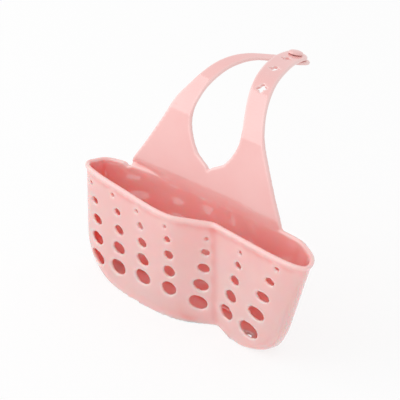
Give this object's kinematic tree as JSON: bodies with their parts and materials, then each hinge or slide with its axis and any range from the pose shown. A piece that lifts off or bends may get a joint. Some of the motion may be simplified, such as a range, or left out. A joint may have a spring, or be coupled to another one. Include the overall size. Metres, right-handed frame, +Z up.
{
  "type": "hanging drain basket",
  "caption": "Soft moulded hanging drain basket: bean-shaped pocket with drain holes and strap arms that curl back, cross and button into a loop for hanging on a tap.",
  "frame": {"origin": "on the underside of the floor, below the middle of the strap loop and near the middle of the basket's depth", "axes": "+X along the basket's length towards its narrow lobe, -Y towards the front wall with the drain holes, +Z up"},
  "size_m": [0.1974, 0.1323, 0.1525],
  "materials": {
    "soft_pink": "satin"
  },
  "bodies": {
    "basket": {"basket": "soft_pink"},
    "yoke": {"strap_yoke": "soft_pink"},
    "left_arm": {"left_strap": "soft_pink"},
    "left_tip": {"left_strap_tip": "soft_pink", "snap_stud": "soft_pink"},
    "right_arm": {"right_strap": "soft_pink"},
    "right_tip": {"right_strap_tip": "soft_pink"}
  },
  "joints": [
    {"name": "loop_lean", "type": "hinge", "parent": "basket", "child": "yoke", "pos_m": [0, 0.01935, 0.08235], "axis": [1, 0, 0], "range_deg": [-35, 25], "stiffness_Nm_per_rad": 0.35},
    {"name": "left_curl", "type": "hinge", "parent": "yoke", "child": "left_arm", "pos_m": [0, 0.02959, 0.12554], "axis": [1, 0, 0], "range_deg": [-25, 20], "stiffness_Nm_per_rad": 0.15},
    {"name": "right_curl", "type": "hinge", "parent": "yoke", "child": "right_arm", "pos_m": [0, 0.02959, 0.12554], "axis": [1, 0, 0], "range_deg": [-25, 20], "stiffness_Nm_per_rad": 0.15},
    {"name": "left_tip_flex", "type": "hinge", "parent": "left_arm", "child": "left_tip", "pos_m": [0, 0.07589, 0.14792], "axis": [1, 0, 0], "range_deg": [-35, 0], "stiffness_Nm_per_rad": 0.03, "deforming": ["snap_stud"]},
    {"name": "right_tip_lift", "type": "hinge", "parent": "right_arm", "child": "right_tip", "pos_m": [0, 0.06883, 0.15119], "axis": [1, 0, 0], "range_deg": [0, 65], "stiffness_Nm_per_rad": 0.03, "deforming": ["snap_stud"]}
  ],
  "couplings": [
    {"joint": "right_curl", "follows": "left_curl", "ratio": 1}
  ]
}
